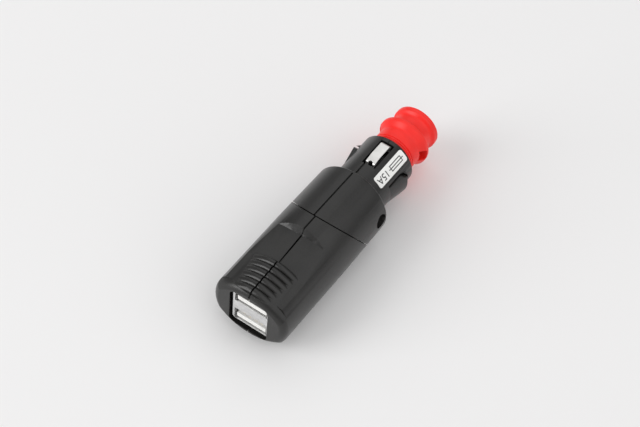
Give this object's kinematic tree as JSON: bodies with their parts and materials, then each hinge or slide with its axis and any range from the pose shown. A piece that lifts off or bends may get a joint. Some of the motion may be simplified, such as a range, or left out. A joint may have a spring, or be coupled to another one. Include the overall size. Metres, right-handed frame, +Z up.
{
  "type": "car usb charger plug",
  "caption": "Round car charger plug with stacked USB ports in its grip end, an oblique-jointed shell and a lighter-socket nose with spring contacts and a red twist-on adapter.",
  "frame": {"origin": "centre of the bounding box's bottom face, with the plug lying on its side", "axes": "+X along the plug's axis towards its tip, +Y to the left seen from the USB end, +Z up"},
  "size_m": [0.1012, 0.028, 0.028],
  "materials": {
    "body_plastic": "grained, charcoal",
    "red_plastic": "satin red",
    "label_white": "smooth white film",
    "nickel": "bright nickel plate",
    "port_steel": "drawn sheet, tinned",
    "screw_steel": "plain zinc",
    "port_white": "white moulding",
    "gold_plate": "gold flash",
    "brass_plate": "bare sheet brass",
    "spring_wire": "drawn wire",
    "fuse_glass": "clear",
    "lead_red": "soft sleeve",
    "lead_black": "soft sleeve",
    "board_green": "solder mask",
    "chip_black": "moulded",
    "ceramic_tan": "fired ceramic",
    "core_yellow": "coated iron powder",
    "copper": "enamelled copper wire",
    "can_aluminium": "drawn can"
  },
  "bodies": {
    "housing": {"rear_shell_left": "body_plastic", "rear_shell_right": "body_plastic", "front_shell_left": "body_plastic", "front_shell_right": "body_plastic", "housing_screw": "screw_steel", "rating_label": "label_white", "ground_ring": "brass_plate", "ground_lead": "lead_black", "tip_spring": "spring_wire", "spring_terminal": "brass_plate", "supply_lead": "lead_red", "circuit_board": "board_green", "usb_shell": "port_steel", "usb_insulator": "port_white", "usb_contacts_upper": "gold_plate", "usb_contacts_lower": "gold_plate", "inductor_core": "core_yellow", "inductor_winding": "copper", "input_capacitor": "can_aluminium", "output_capacitor": "can_aluminium", "converter_chip": "chip_black", "rectifier_diode": "chip_black", "ceramic_capacitors": "ceramic_tan", "resistors": "chip_black"},
    "centre_pin": {"tip_contact": "nickel", "fuse_glass": "fuse_glass", "fuse_caps": "nickel", "fuse_wire": "copper"},
    "adapter": {"bayonet_adapter": "red_plastic"},
    "contact_top": {"contact_spring_top": "nickel"},
    "contact_bottom": {"contact_spring_bottom": "nickel"}
  },
  "joints": [
    {"name": "tip_press", "type": "slide", "parent": "housing", "child": "centre_pin", "axis": [-1, 0, 0], "range_m": [0, 0.002], "stiffness_N_per_m": 400, "springref_m": -0.003, "deforming": ["tip_spring"]},
    {"name": "adapter_twist", "type": "hinge", "parent": "housing", "child": "adapter", "pos_m": [0, 0, 0.014], "axis": [1, 0, 0], "range_deg": [0, 35]},
    {"name": "contact_top_flex", "type": "hinge", "parent": "housing", "child": "contact_top", "pos_m": [0.0134, 0, 0.02096], "axis": [0, 1, 0], "range_deg": [0, 4], "stiffness_Nm_per_rad": 0.003, "springref_deg": -5.73},
    {"name": "contact_bottom_flex", "type": "hinge", "parent": "housing", "child": "contact_bottom", "pos_m": [0.0134, 0, 0.00704], "axis": [0, -1, 0], "range_deg": [0, 4], "stiffness_Nm_per_rad": 0.003, "springref_deg": -5.73}
  ]
}
